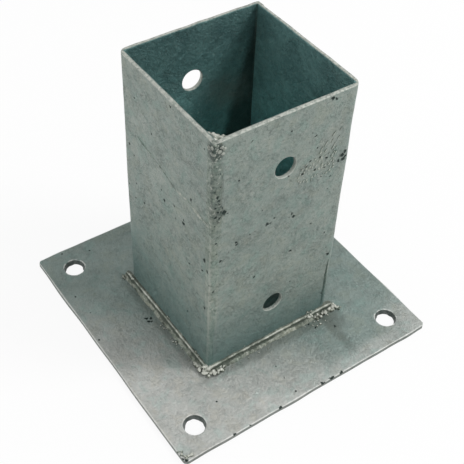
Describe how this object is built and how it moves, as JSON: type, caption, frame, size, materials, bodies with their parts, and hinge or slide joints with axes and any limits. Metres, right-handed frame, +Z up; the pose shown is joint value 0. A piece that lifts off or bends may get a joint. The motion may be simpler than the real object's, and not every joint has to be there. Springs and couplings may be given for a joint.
{
  "type": "timber post base",
  "caption": "Square galvanised steel sleeve welded to a flat base plate, which bolts a square timber post down to concrete.",
  "frame": {"origin": "middle of the base plate's underside", "axes": "+Z up along the post; +X along the two cross bolts; the welded seams of the sleeve stand at its +X -Y and -X +Y corners"},
  "size_m": [0.15, 0.15, 0.15],
  "materials": {
    "plate_zinc": "hot-dip galvanised, dull and mottled",
    "sheet_zinc": "hot-dip galvanised, dull and mottled",
    "weld_zinc": "hot-dip galvanised over rough weld metal"
  },
  "bodies": {
    "root": {"base_plate": "plate_zinc", "sleeve_angle_left": "sheet_zinc", "sleeve_angle_right": "sheet_zinc", "seam_weld_front": "weld_zinc", "seam_weld_back": "weld_zinc", "foot_weld_front": "weld_zinc", "foot_weld_right": "weld_zinc", "foot_weld_back": "weld_zinc", "foot_weld_left": "weld_zinc"}
  },
  "joints": []
}
